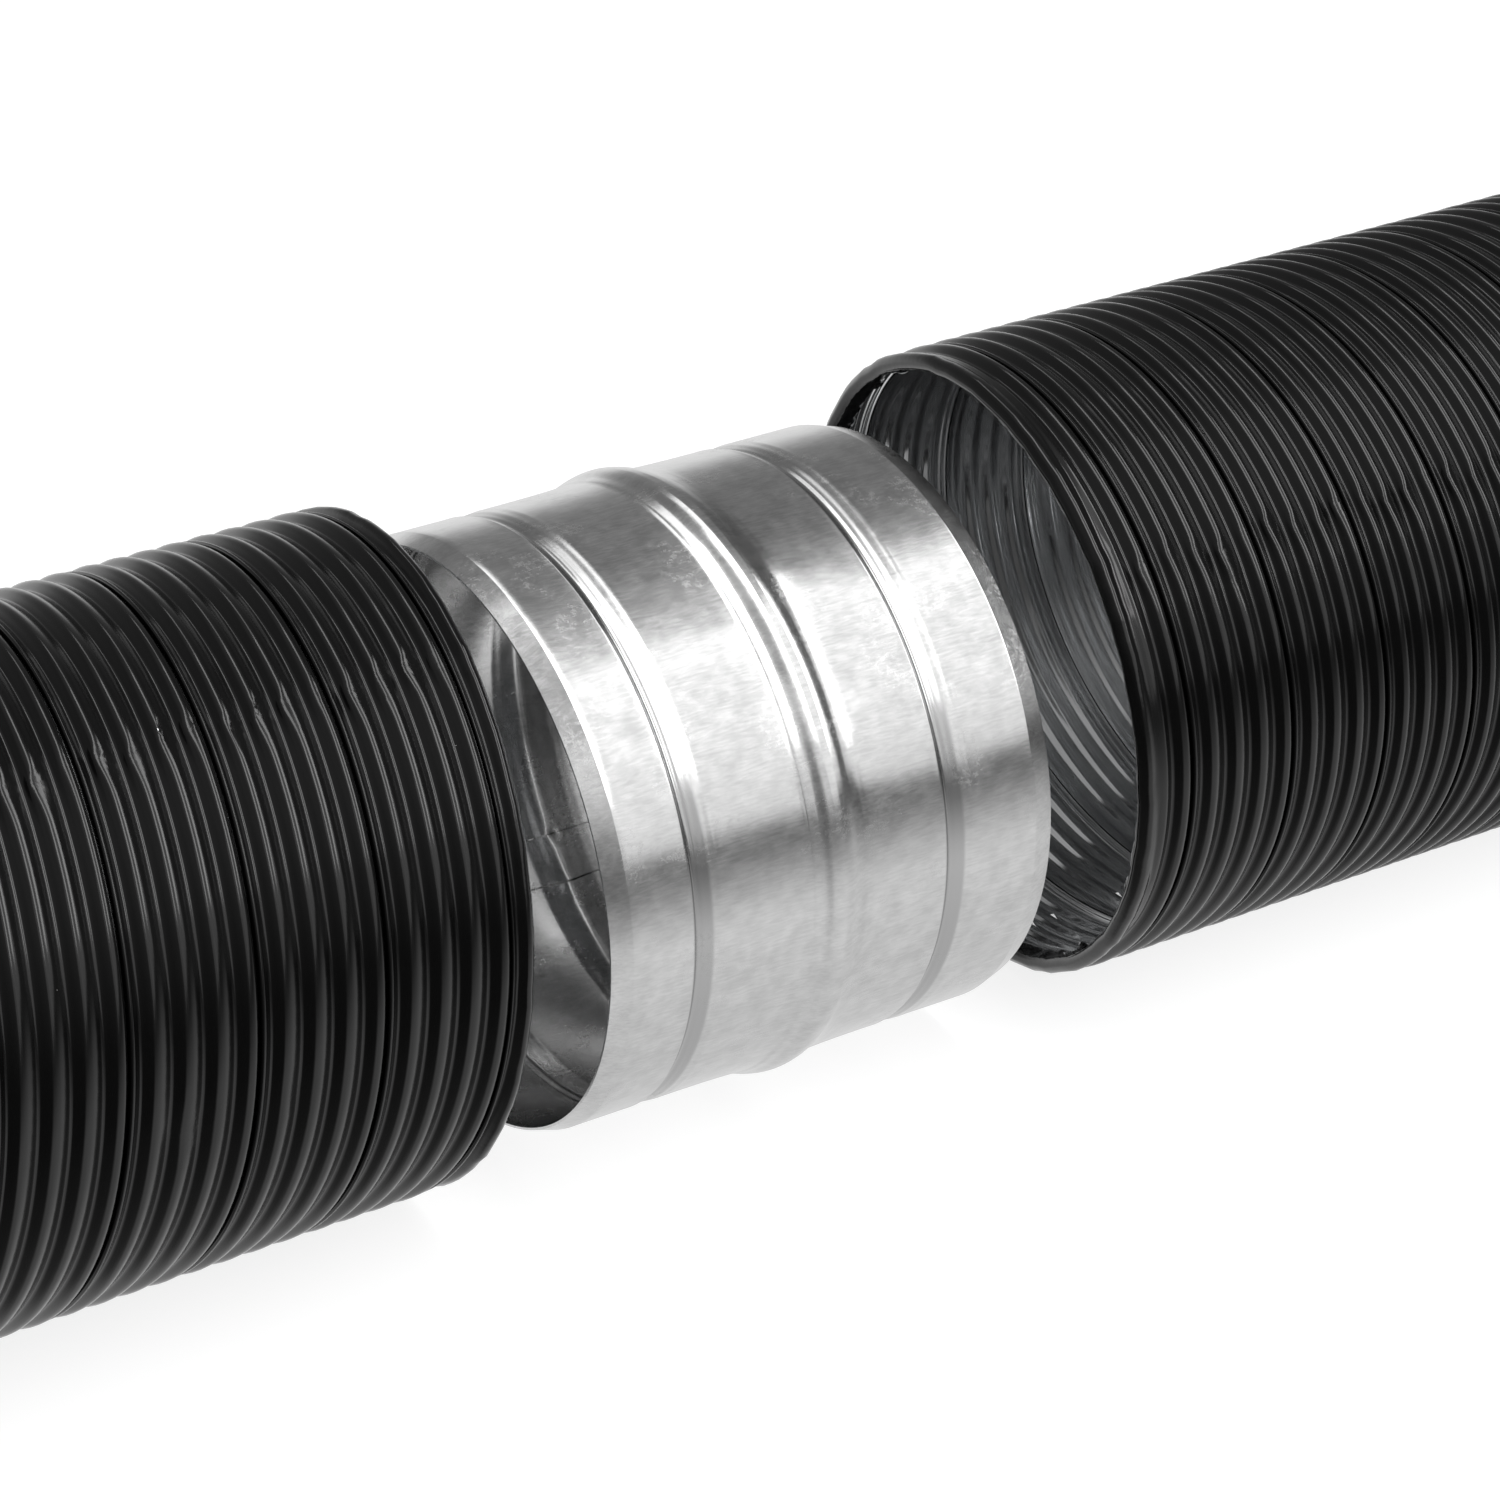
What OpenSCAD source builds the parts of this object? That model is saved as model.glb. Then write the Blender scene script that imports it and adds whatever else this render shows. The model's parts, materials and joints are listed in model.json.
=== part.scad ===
// Flexible air duct run: two lengths of ribbed foil duct and the galvanised
// coupling that joins them, laid out in line and drawn apart on a table.
// Millimetres. +X runs along the duct, +Z is up, and z = 0 is the table.
// The origin is on the table, below the middle of the whole run.

/* [Coupling] */
// Outside diameter of the coupling's two spigots
spigot_od = 150; // [120:1:220]
// Length of the coupling from rim to rim
coupling_len = 125; // [112:1:200]
// Thickness of the galvanised sheet
sheet_t = 0.6; // [0.5:0.1:1]
// Height of the stop bead above the spigots
bead_h = 2.5; // [1.5:0.1:4]
// Width of the stop bead at its foot
bead_w = 18; // [12:1:24]
// Distance from the middle of the bead to each stiffening groove
groove_offset = 35; // [24:1:42]
// Width of each stiffening groove
groove_w = 5.5; // [4:0.5:8]
// Depth of each stiffening groove
groove_d = 1; // [0.6:0.1:1.4]
// How far each rim is drawn in, so that it enters the duct
rim_draw = 1.8; // [1:0.1:2.4]
// Length of each drawn-in rim
rim_len = 7; // [4:0.5:9]

/* [Lap seam] */
// Width of the lap where the rolled sheet overlaps itself
lap_w = 13; // [8:1:24]
// Where the lap lies, in degrees round the coupling from the top towards the back
lap_angle = 132; // [0:1:359]
// Diameter of a spot weld's dimple
weld_d = 5; // [3:0.5:7]
// Depth of a spot weld's dimple
weld_depth = 0.4; // [0.2:0.1:0.5]
// Distance from each rim to the spot weld beside it
weld_from_rim = 13; // [11:1:15]
// Distance from the middle of the bead to the spot weld on each side of it
weld_from_bead = 16; // [14:1:20]

/* [Duct] */
// Room between a spigot and the duct's bore, on the radius
fit_clearance = 2.5; // [2:0.1:4]
// Depth of the grooves between the ribs
rib_depth = 1.8; // [1:0.1:3]
// Distance from one rib to the next
rib_pitch = 7.8; // [6:0.1:10]
// Width of each rib's crest
rib_crest_w = 3.6; // [2:0.1:4.5]
// Thickness of the wall at the bottom of the grooves
web_t = 3.2; // [0.8:0.1:4.5]
// Width of the crest of the folded lip at each end
lip_w = 2.4; // [1.6:0.1:4]
// Size of the folded lip's rounded-off edge
lip_edge = 0.9; // [0.4:0.1:1.2]

/* [Duct lengths, counted in ribs] */
// Ribs on the mouth length, which slides over the coupling
mouth_ribs = 8; // [7:1:14]
// Ribs on the zone that stretches and compresses
stretch_ribs = 8; // [4:1:16]
// Ribs on the length between the two flexing zones
middle_ribs = 4; // [2:1:8]
// Ribs on the zone that bends
bend_ribs = 16; // [10:1:24]
// Ribs on the far length
far_ribs = 8; // [4:1:16]

/* [Layout] */
// Gap between the left duct's mouth and the coupling
gap_left = 22; // [10:1:60]
// Gap between the coupling and the right duct's mouth
gap_right = 28; // [10:1:60]
// Depth of the flat that the ribs are pressed to where they lie on the table
flat_depth = 0.5; // [0.3:0.1:1]

/* [Hidden] */
$fn = 96;

galvanised = "#a9adb0";
black_lacquer = "#1c1c1d";

spigot_r = spigot_od / 2;
bead_r = spigot_r + bead_h;
groove_slope = groove_w / 3;

bore_r = spigot_r + fit_clearance;
valley_r = bore_r + web_t;
crest_r = valley_r + rib_depth;
flank = (rib_pitch - rib_crest_w) / 2;
lip_len = lip_w + flank;

mouth_len = lip_len + mouth_ribs * rib_pitch;
stretch_len = stretch_ribs * rib_pitch;
middle_len = middle_ribs * rib_pitch;
bend_len = bend_ribs * rib_pitch;
far_len = far_ribs * rib_pitch + lip_len;

stretch_s = mouth_len;
middle_s = stretch_s + stretch_len;
bend_s = middle_s + middle_len;
far_s = bend_s + bend_len;
duct_len = far_s + far_len;

run_len = 2 * duct_len + gap_left + coupling_len + gap_right;
left_mouth_x = duct_len - run_len / 2;
coupling_x = left_mouth_x + gap_left;
right_mouth_x = coupling_x + coupling_len + gap_right;

coupling_axis_z = bead_r;
duct_axis_z = crest_r - flat_depth;

// The bead's crown is an arc over its foot, and the rims curve in as a parabola
bead_arc_r = (bead_w * bead_w / 4 + bead_h * bead_h) / (2 * bead_h);
bead_arc_half = asin(bead_w / 2 / bead_arc_r);
bead_steps = 4;
rim_steps = 3;
// How deep the lap's inner leaf is pressed into the outer one, so that they are one sheet
lap_bite = 0.02;

// ---- Coupling: rolled sheet with a stop bead, two grooves and drawn-in rims ----

// Outer radius of the sheet along one half, from the bead's middle to the rim
function half_wall() = [
  for (i = [0:bead_steps])
    let (turn = bead_arc_half * i / bead_steps)
      [bead_r - bead_arc_r * (1 - cos(turn)), bead_arc_r * sin(turn)],
  [spigot_r, groove_offset - groove_w / 2],
  [spigot_r - groove_d, groove_offset - groove_w / 2 + groove_slope],
  [spigot_r - groove_d, groove_offset + groove_w / 2 - groove_slope],
  [spigot_r, groove_offset + groove_w / 2],
  for (i = [0:rim_steps])
    let (share = i / rim_steps)
      [spigot_r - rim_draw * share * share, coupling_len / 2 - rim_len * (1 - share)],
];

function mirrored(points) = [
  for (i = [len(points) - 1:-1:1]) [points[i][0], -points[i][1]],
];

function moved_in(points, by) = [for (p = points) [p[0] - by, p[1]]];

function reversed(points) = [for (i = [len(points) - 1:-1:0]) points[i]];

// Cross-section of a leaf of sheet between two depths below the outer surface
module leaf_section(from, to) {
  wall = concat(mirrored(half_wall()), half_wall());
  polygon(concat(moved_in(wall, from), reversed(moved_in(wall, to))));
}

// Lays a shape turned round the Z axis along X
module along_x() {
  rotate([0, 90, 0])
    children();
}

// Dimples that the spot welds leave in the lap, along one line
module weld_dimples() {
  dimple_r = (weld_d * weld_d / 4 + weld_depth * weld_depth) / (2 * weld_depth);
  lap_inner_r = spigot_r - 2 * sheet_t;
  for (side = [-1, 1])
    for (place = [weld_from_bead, coupling_len / 2 - weld_from_rim])
      translate([lap_inner_r - dimple_r + weld_depth, 0, side * place])
        sphere(r = dimple_r, $fn = 64);
}

module coupling_shell() {
  lap_turn = lap_w / spigot_r * 180 / PI;
  color(galvanised)
    translate([coupling_x + coupling_len / 2, 0, coupling_axis_z])
      along_x() {
        rotate_extrude()
          leaf_section(0, sheet_t);
        rotate([0, 0, 180 - lap_angle - lap_turn / 2])
          difference() {
            rotate_extrude(angle = lap_turn)
              leaf_section(sheet_t - lap_bite, 2 * sheet_t);
            rotate([0, 0, lap_turn / 2])
              weld_dimples();
          }
      }
}

// ---- Duct: ribbed foil with a plain bore and a folded lip at each end ----

// Outer surface of `count` ribs from s, without the groove that ends the last one
function rib_points(s, count) = [
  for (i = [0:count - 1])
    each [
      [valley_r, s + i * rib_pitch],
      [crest_r, s + i * rib_pitch + flank],
      [crest_r, s + (i + 1) * rib_pitch - flank],
    ],
];

// Outer surface of the folded lip, from the duct's end inwards
function lip_points() = [
  [crest_r - lip_edge, 0],
  [crest_r, lip_edge],
  [crest_r, lip_w],
];

function flipped(points, length) = [
  for (i = [len(points) - 1:-1:0]) [points[i][0], length - points[i][1]],
];

// One stretch of duct, `count` ribs long, from s = 0, with a lip at its start or its end
module duct_stretch(count, lip_at_start = false, lip_at_end = false) {
  ribs_s = lip_at_start ? lip_len : 0;
  ribs_end = ribs_s + count * rib_pitch;
  length = ribs_end + (lip_at_end ? lip_len : 0);
  outer = concat(
    lip_at_start ? lip_points() : [],
    rib_points(ribs_s, count),
    [[valley_r, ribs_end]],
    lip_at_end ? flipped(lip_points(), length) : []
  );
  along_x()
    rotate_extrude()
      polygon(concat([[bore_r, 0]], outer, [[bore_r, length]]));
}

// Everything below the table, over the whole run
module below_table() {
  translate([-run_len, -crest_r, -2 * crest_r])
    cube([2 * run_len, 2 * crest_r, 2 * crest_r]);
}

// Places a stretch `s` along the right duct, whose mouth faces -X
module on_right(s) {
  color(black_lacquer)
    difference() {
      translate([right_mouth_x + s, 0, duct_axis_z])
        children();
      below_table();
    }
}

// Places a stretch `s` along the left duct, whose mouth faces +X
module on_left(s) {
  color(black_lacquer)
    difference() {
      translate([left_mouth_x - s, 0, duct_axis_z])
        rotate([0, 0, 180])
          children();
      below_table();
    }
}

module mouth_length() { duct_stretch(mouth_ribs, lip_at_start = true); }
module stretch_zone() { duct_stretch(stretch_ribs); }
module middle_length() { duct_stretch(middle_ribs); }
module bend_zone() { duct_stretch(bend_ribs); }
module far_length() { duct_stretch(far_ribs, lip_at_end = true); }

module left_mouth_length() { on_left(0) mouth_length(); }
module left_stretch_zone() { on_left(stretch_s) stretch_zone(); }
module left_middle_length() { on_left(middle_s) middle_length(); }
module left_bend_zone() { on_left(bend_s) bend_zone(); }
module left_far_length() { on_left(far_s) far_length(); }

module right_mouth_length() { on_right(0) mouth_length(); }
module right_stretch_zone() { on_right(stretch_s) stretch_zone(); }
module right_middle_length() { on_right(middle_s) middle_length(); }
module right_bend_zone() { on_right(bend_s) bend_zone(); }
module right_far_length() { on_right(far_s) far_length(); }

coupling_shell();
left_mouth_length();
left_stretch_zone();
left_middle_length();
left_bend_zone();
left_far_length();
right_mouth_length();
right_stretch_zone();
right_middle_length();
right_bend_zone();
right_far_length();
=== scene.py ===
"""Ribbed foil air duct in two lengths, with the galvanised coupling that joins them.

Lengths are in metres in the CAD frame: +X runs along the ducts, +Y to the back and +Z up.
An angle round a duct or the coupling is measured from the top towards the front.
"""

import json
import math

import bpy
import numpy as np
from mathutils import Matrix, Vector


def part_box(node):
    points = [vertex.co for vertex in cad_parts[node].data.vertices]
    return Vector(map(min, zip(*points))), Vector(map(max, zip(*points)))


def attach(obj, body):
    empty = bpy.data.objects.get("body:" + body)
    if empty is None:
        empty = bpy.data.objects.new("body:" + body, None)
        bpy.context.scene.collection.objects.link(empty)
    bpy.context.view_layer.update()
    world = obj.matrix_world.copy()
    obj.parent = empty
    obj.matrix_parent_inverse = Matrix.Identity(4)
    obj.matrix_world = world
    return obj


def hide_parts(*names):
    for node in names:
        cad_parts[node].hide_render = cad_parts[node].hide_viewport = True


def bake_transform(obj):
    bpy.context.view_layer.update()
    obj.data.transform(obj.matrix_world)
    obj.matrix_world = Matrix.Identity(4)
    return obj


bl_info = {
    "name": "Flexible Air Duct",
    "version": (1, 0, 0),
    "blender": (4, 5, 0),
    "location": "View3D > Sidebar > Air Duct",
    "description": "Builds a run of ribbed foil air duct with its galvanised coupling",
    "category": "Object",
}

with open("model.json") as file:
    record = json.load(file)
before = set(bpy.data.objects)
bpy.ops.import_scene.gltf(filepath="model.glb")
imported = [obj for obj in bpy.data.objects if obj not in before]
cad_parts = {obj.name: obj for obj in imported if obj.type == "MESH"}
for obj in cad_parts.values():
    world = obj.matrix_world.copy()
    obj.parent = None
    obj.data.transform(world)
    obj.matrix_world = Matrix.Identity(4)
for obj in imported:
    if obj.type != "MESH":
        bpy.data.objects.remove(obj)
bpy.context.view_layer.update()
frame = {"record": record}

MM = 0.001
TURN = 2 * math.pi
# The height of the ducts' axis
DUCT_Z = frame["record"]["mounts"][0]["pos_m"][2]
CREST_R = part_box("right_far_length")[1].z - DUCT_Z
COUPLING_LOW, COUPLING_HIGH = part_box("coupling_shell")
COUPLING_LEN = COUPLING_HIGH.x - COUPLING_LOW.x
COUPLING_X = (COUPLING_HIGH.x + COUPLING_LOW.x) / 2
COUPLING_Z = (COUPLING_HIGH.z + COUPLING_LOW.z) / 2

# Where the camera stands, what it looks along, and its lens on a 36 mm sensor
CAMERA_AT = (-0.58051, -0.93401, 0.67146)
CAMERA_ALONG = (0.4767, 0.7417, -0.4719)
CAMERA_LENS = 120.94


def linear(colour):
    """An sRGB colour such as #a0b0c0 as linear red, green, blue and alpha."""
    parts = [int(colour[i : i + 2], 16) / 255 for i in (1, 3, 5)]
    return [p / 12.92 if p <= 0.04045 else ((p + 0.055) / 1.055) ** 2.4 for p in parts] + [1.0]


def size_setting(name, description, millimetres):
    """A length setting with its default in millimetres."""
    return bpy.props.FloatProperty(
        name=name, description=description, default=millimetres * MM, unit="LENGTH"
    )


def colour_setting(name, description, colour):
    """A colour setting with its default as an sRGB colour."""
    return bpy.props.FloatVectorProperty(
        name=name, description=description,
        default=linear(colour)[:3], subtype="COLOR", min=0, max=1,
    )


class DuctSizes(bpy.types.PropertyGroup):
    """Sizes of the wound, ribbed foil"""

    lead: size_setting("Lead", "How far the wound strip advances in one turn", 31.1)
    ribs: bpy.props.IntProperty(
        name="Ribs", description="Ribs across the width of one strip", default=4, min=2
    )
    first_crest: size_setting(
        "First crest", "Distance from the lock seam's slit to the first rib's crest", 6.3
    )
    rib_spacing: size_setting("Rib spacing", "Distance between two ribs of the same strip", 7.57)
    rib_rise: size_setting(
        "Rib rise", "Distance from a valley up to the crest that follows it", 3.2
    )
    rib_depth: size_setting("Rib depth", "Depth from a rib's crest to the valley beside it", 1.8)
    valley_bend: bpy.props.FloatProperty(
        name="Valley bend",
        description="How soft the bend of a valley is: 0 is a crease, and 1 nearly an even wave",
        default=0.45,
        min=0.05,
        max=2,
    )
    foil: size_setting("Foil", "Thickness of the lacquered foil", 0.2)
    lip_width: size_setting(
        "Lip width", "Distance from a duct's end to the crest of its rolled lip", 2.4
    )
    lip_height: size_setting("Lip height", "Half the height of the rolled lip", 2.2)
    hem: size_setting("Hem", "How far the foil runs on inside the duct behind its rolled lip", 4.2)


class CouplingSizes(bpy.types.PropertyGroup):
    """Sizes of the rolled and swaged sheet"""

    spigot_radius: size_setting("Spigot radius", "Outside radius of the plain sheet", 75)
    sheet: size_setting("Sheet", "Thickness of the galvanised sheet", 0.6)
    bead_height: size_setting("Bead height", "Height of the stop bead", 2.5)
    bead_width: size_setting("Bead width", "Width of the stop bead", 16)
    swell: size_setting("Swell", "How far the sheet swells out beside the stop bead", 0.5)
    groove_offset: size_setting(
        "Groove offset", "Distance from the bead's middle to each groove", 35.7
    )
    groove_width: size_setting("Groove width", "Width of each groove", 9.4)
    groove_depth: size_setting("Groove depth", "Depth of each groove", 0.85)
    rim_draw: size_setting("Rim draw", "How far each rim is drawn in", 1.6)
    rim_length: size_setting("Rim length", "Length of each drawn-in rim", 5.4)
    lap_width: size_setting("Lap width", "Width of the lap seam", 13)
    lap_angle: bpy.props.FloatProperty(
        name="Lap angle",
        description="Where the lap lies, from the top towards the front",
        default=math.radians(-132),
        subtype="ANGLE",
    )


class Finishes(bpy.types.PropertyGroup):
    """Colours of the sheet, foil, lacquer and floor"""

    lacquer: colour_setting("Lacquer", "Black lacquer outside the foil", "#070707")
    foil: colour_setting("Foil", "Bare aluminium inside the foil", "#cdcecf")
    zinc: colour_setting("Zinc", "Zinc on the coupling", "#cdcdcd")
    floor: colour_setting("Floor", "Studio floor", "#f4f4f4")


# ---- Materials ----


def add(tree, kind, settings=None, **inputs):
    """Adds a node with its settings, and sets or links its inputs: in2 is the third input, and
    any other name has _ for a space. A node stands for its first output."""
    node = tree.nodes.new(kind)
    for name, value in (settings or {}).items():
        setattr(node, name, value)
    for name, value in inputs.items():
        numbered = name.startswith("in") and name[2:].isdigit()
        key = int(name[2:]) if numbered else name.replace("_", " ")
        if isinstance(value, bpy.types.Node):
            value = value.outputs[0]
        if isinstance(value, bpy.types.NodeSocket):
            tree.links.new(value, node.inputs[key])
        else:
            node.inputs[key].default_value = value
    return node


def new_material(name):
    """A material with an empty node tree, and that tree."""
    material = bpy.data.materials.new(name)
    material.use_nodes = True
    material.node_tree.nodes.clear()
    return material, material.node_tree


def toned(colour, by):
    """A linear colour made darker, or lighter with `by` above 1."""
    return [min(1.0, c * by) for c in list(colour)[:3]] + [1.0]


def black_lacquer(finish):
    """Coil-coated polyester lacquer on aluminium: a smooth dielectric film, so it is nearly black
    with narrow highlights, and it wrinkles a little where the foil was dented."""
    material, tree = new_material("black_coil_lacquer")
    place = add(tree, "ShaderNodeTexCoord").outputs["Object"]
    dented = add(tree, "ShaderNodeAttribute", {"attribute_name": "dented"}).outputs["Fac"]
    # The film's thickness varies over some 20 mm. Its grain is drawn 0.7 mm across and its
    # wrinkles 1.4 mm, coarser than the real ones, so that they show
    film = add(tree, "ShaderNodeTexNoise", Vector=place, Scale=1 / (20 * MM), Detail=2.0)
    grain = add(tree, "ShaderNodeTexNoise", Vector=place, Scale=1 / (0.7 * MM), Detail=2.0)
    wrinkle = add(tree, "ShaderNodeTexNoise", Vector=place, Scale=1 / (1.4 * MM), Detail=3.0)
    # Dust and chips are drawn 0.3 mm across, coarser than real dust, so that they show
    cells = add(tree, "ShaderNodeTexVoronoi", Vector=place, Scale=1 / (6 * MM))
    chance = add(tree, "ShaderNodeSeparateColor", Color=cells.outputs["Color"])
    rare = add(tree, "ShaderNodeMath", {"operation": "GREATER_THAN"}, in0=chance, in1=0.93)
    near = add(
        tree, "ShaderNodeMath", {"operation": "LESS_THAN"}, in0=cells.outputs["Distance"], in1=0.025
    )
    chips = add(tree, "ShaderNodeMath", {"operation": "MULTIPLY"}, in0=rare, in1=near)
    black = add(
        tree, "ShaderNodeMix", {"data_type": "RGBA"},
        Factor=grain, in6=toned(finish.lacquer, 0.5), in7=toned(finish.lacquer, 1.6),
    )
    colour = add(
        tree, "ShaderNodeMix", {"data_type": "RGBA"},
        Factor=chips, in6=black.outputs[2], in7=linear("#8d8d8d"),
    )
    gloss = add(
        tree, "ShaderNodeMapRange", Value=film, From_Min=0.3, From_Max=0.7, To_Min=0.13, To_Max=0.17
    )
    creased = add(tree, "ShaderNodeMath", {"operation": "MULTIPLY"}, in0=wrinkle, in1=dented)
    bump = add(tree, "ShaderNodeBump", Strength=0.4, Distance=0.3 * MM, Height=creased)
    shader = add(
        tree, "ShaderNodeBsdfPrincipled",
        Base_Color=colour.outputs[2], Roughness=gloss, Normal=bump, IOR=1.46,
    )
    add(tree, "ShaderNodeOutputMaterial", Surface=shader)
    return material


def bare_foil(finish):
    """Mill-finish aluminium foil: bright metal with fine rolling lines that run round the duct.
    It scatters a little of the light, so that the ribs' dark sides stay grey."""
    material, tree = new_material("mill_finish_aluminium")
    place = add(tree, "ShaderNodeTexCoord").outputs["Object"]
    # Rolling lines are drawn 0.6 mm apart, coarser than real ones, so that they show
    drawn = add(
        tree, "ShaderNodeVectorMath", {"operation": "MULTIPLY"},
        in0=place, in1=(1 / (0.6 * MM), 1 / (40 * MM), 1 / (40 * MM)),
    )
    lines = add(tree, "ShaderNodeTexNoise", Vector=drawn, Scale=1.0, Detail=2.0)
    cloud = add(tree, "ShaderNodeTexNoise", Vector=place, Scale=1 / (14 * MM), Detail=3.0)
    tone = add(
        tree, "ShaderNodeMix", {"data_type": "RGBA"},
        Factor=cloud, in6=toned(finish.foil, 1.05), in7=toned(finish.foil, 1.3),
    )
    gloss = add(
        tree, "ShaderNodeMapRange",
        Value=lines, From_Min=0.3, From_Max=0.7, To_Min=0.05, To_Max=0.09,
    )
    bump = add(tree, "ShaderNodeBump", Strength=0.05, Distance=0.02 * MM, Height=lines)
    shader = add(
        tree, "ShaderNodeBsdfPrincipled",
        Base_Color=tone.outputs[2], Roughness=gloss, Normal=bump, Metallic=0.85,
    )
    add(tree, "ShaderNodeOutputMaterial", Surface=shader)
    return material


def torn_foil(finish):
    """Aluminium foil where it was torn off: crumpled too finely to mirror, so it glints dully."""
    material, tree = new_material("torn_aluminium_edge")
    place = add(tree, "ShaderNodeTexCoord").outputs["Object"]
    crumple = add(tree, "ShaderNodeTexNoise", Vector=place, Scale=1 / (1.2 * MM), Detail=2.0)
    bump = add(tree, "ShaderNodeBump", Strength=0.6, Distance=0.5 * MM, Height=crumple)
    shader = add(
        tree, "ShaderNodeBsdfPrincipled",
        Base_Color=toned(finish.foil, 1.3), Roughness=0.45, Normal=bump, Metallic=0.7,
    )
    add(tree, "ShaderNodeOutputMaterial", Surface=shader)
    return material


def hot_dip_zinc(finish):
    """Hot-dip galvanised steel with minimised spangle, rolled along the coupling: soft grey metal
    with a fine grain along it, and paler specks where the zinc was rubbed."""
    material, tree = new_material("hot_dip_galvanised_steel")
    place = add(tree, "ShaderNodeTexCoord").outputs["Object"]
    # The grain is 0.6 mm across and drawn out to 4 mm along the rolling direction
    drawn = add(
        tree, "ShaderNodeVectorMath", {"operation": "MULTIPLY"},
        in0=place, in1=(1 / (4 * MM), 1 / (0.6 * MM), 1 / (0.6 * MM)),
    )
    grain = add(tree, "ShaderNodeTexNoise", Vector=drawn, Scale=1.0, Detail=4.0, Roughness=0.6)
    # Spangle some 5 mm across is dull here and bright there
    spangle = add(tree, "ShaderNodeTexNoise", Vector=place, Scale=1 / (5 * MM), Detail=4.0)
    # Rubbed places 14 mm across are covered with pale specks of 1.6 mm
    rubbed = add(tree, "ShaderNodeTexNoise", Vector=place, Scale=1 / (14 * MM), Detail=1.0)
    specks = add(
        tree, "ShaderNodeTexNoise", Vector=place, Scale=1 / (1.6 * MM), Detail=6.0, Roughness=0.75
    )
    both = add(tree, "ShaderNodeMath", {"operation": "ADD"}, in0=grain, in1=spangle)
    tone = add(
        tree, "ShaderNodeMapRange", Value=both, From_Min=0.75, From_Max=1.25, To_Min=0.0, To_Max=1.0
    )
    grey = add(
        tree, "ShaderNodeMix", {"data_type": "RGBA"},
        Factor=tone, in6=toned(finish.zinc, 0.86), in7=toned(finish.zinc, 1.06),
    )
    # Each groove is painted a darker zinc tone across most of its width
    rolled = add(tree, "ShaderNodeAttribute", {"attribute_name": "rolled"}).outputs["Fac"]
    grey = add(
        tree, "ShaderNodeMix", {"data_type": "RGBA"},
        Factor=rolled, in6=grey.outputs[2], in7=toned(finish.zinc, 0.7),
    )
    where = add(tree, "ShaderNodeMapRange", Value=rubbed, From_Min=0.5, From_Max=0.62)
    fine = add(tree, "ShaderNodeMapRange", Value=specks, From_Min=0.5, From_Max=0.56)
    pale = add(tree, "ShaderNodeMath", {"operation": "MULTIPLY"}, in0=where, in1=fine)
    frost = add(tree, "ShaderNodeMath", {"operation": "MULTIPLY"}, in0=pale, in1=0.07)
    gloss = add(
        tree, "ShaderNodeMapRange", Value=both, From_Min=0.7, From_Max=1.3, To_Min=0.18, To_Max=0.23
    )
    rough = add(tree, "ShaderNodeMath", {"operation": "ADD"}, in0=gloss, in1=frost)
    bump = add(tree, "ShaderNodeBump", Strength=0.1, Distance=0.03 * MM, Height=both)
    shader = add(
        tree, "ShaderNodeBsdfPrincipled",
        Base_Color=grey.outputs[2], Roughness=rough, Normal=bump, Metallic=1.0,
    )
    add(tree, "ShaderNodeOutputMaterial", Surface=shader)
    return material


# ---- Meshes ----


def ripple(angle, seed, lowest, highest):
    """Smooth random wave round a circle, between about -1 and 1, with these numbers of waves."""
    chance = np.random.RandomState(seed)
    waves = np.arange(lowest, highest + 1)
    size = chance.uniform(0.4, 1, len(waves))
    start = chance.uniform(0, TURN, len(waves))
    total = (size[:, None] * np.cos(waves[:, None] * angle[None, :] + start[:, None])).sum(0)
    return total / math.sqrt((size**2).sum() * 1.2)


def ease(share):
    """Smooth step from 0 to 1."""
    share = np.clip(share, 0, 1)
    return share * share * (3 - 2 * share)


def bell(distance, width):
    """Bell curve that is 1 in the middle and falls off over `width`."""
    return np.exp(-((distance / width) ** 2))


def rib_wave(sizes, points):
    """The ribs' outer surface as (along, radius): rounded crests with tight valleys between."""
    soft = sizes.valley_bend
    fall = sizes.rib_spacing - sizes.rib_rise
    # The points stand closer together in the valleys, where the foil turns tightly
    even = np.arange(points) / points
    share = even - 0.45 * np.sin(TURN * even) / TURN
    places = []
    for rib in range(sizes.ribs):
        crest = sizes.first_crest + rib * sizes.rib_spacing
        low = crest - (SEAM_RISE if rib == 0 else sizes.rib_rise)
        high = crest + fall
        top = (crest - low) / (high - low)
        turned = share + (0.5 - top) / math.sin(math.pi * top) ** 2 * np.sin(math.pi * share) ** 2
        height = np.sqrt(np.sin(math.pi * turned) ** 2 + soft**2) - soft
        height /= math.sqrt(1 + soft**2) - soft
        along = low + (high - low) * share
        places.append(np.stack([along, CREST_R - sizes.rib_depth * (1 - height)], -1))
    return np.concatenate(places)


# The lock seam beside its slit, as (along, depth below the crests) in millimetres: the last rib's
# edge, the slit's bottom, the folded edge and the way down to the valley before the first rib
SEAM_OUTSIDE = (
    (-0.62, 0.56), (-0.42, 0.9), (-0.27, 1.6), (-0.1, 2.5), (0.1, 2.5), (0.22, 1.6), (0.36, 0.9),
    (0.58, 0.5), (0.85, 0.34), (1.15, 0.36), (1.5, 0.58), (1.95, 0.98), (2.4, 1.38), (2.85, 1.67),
)
SEAM_INSIDE = (
    (-1.15, 0.62), (-0.85, 1.5), (-0.5, 2.1), (0.0, 2.3), (0.6, 2.2), (1.2, 2.25), (1.8, 1.8),
    (2.4, 1.62), (2.9, 1.86),
)
SEAM_RISE = 3.0 * MM


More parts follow.
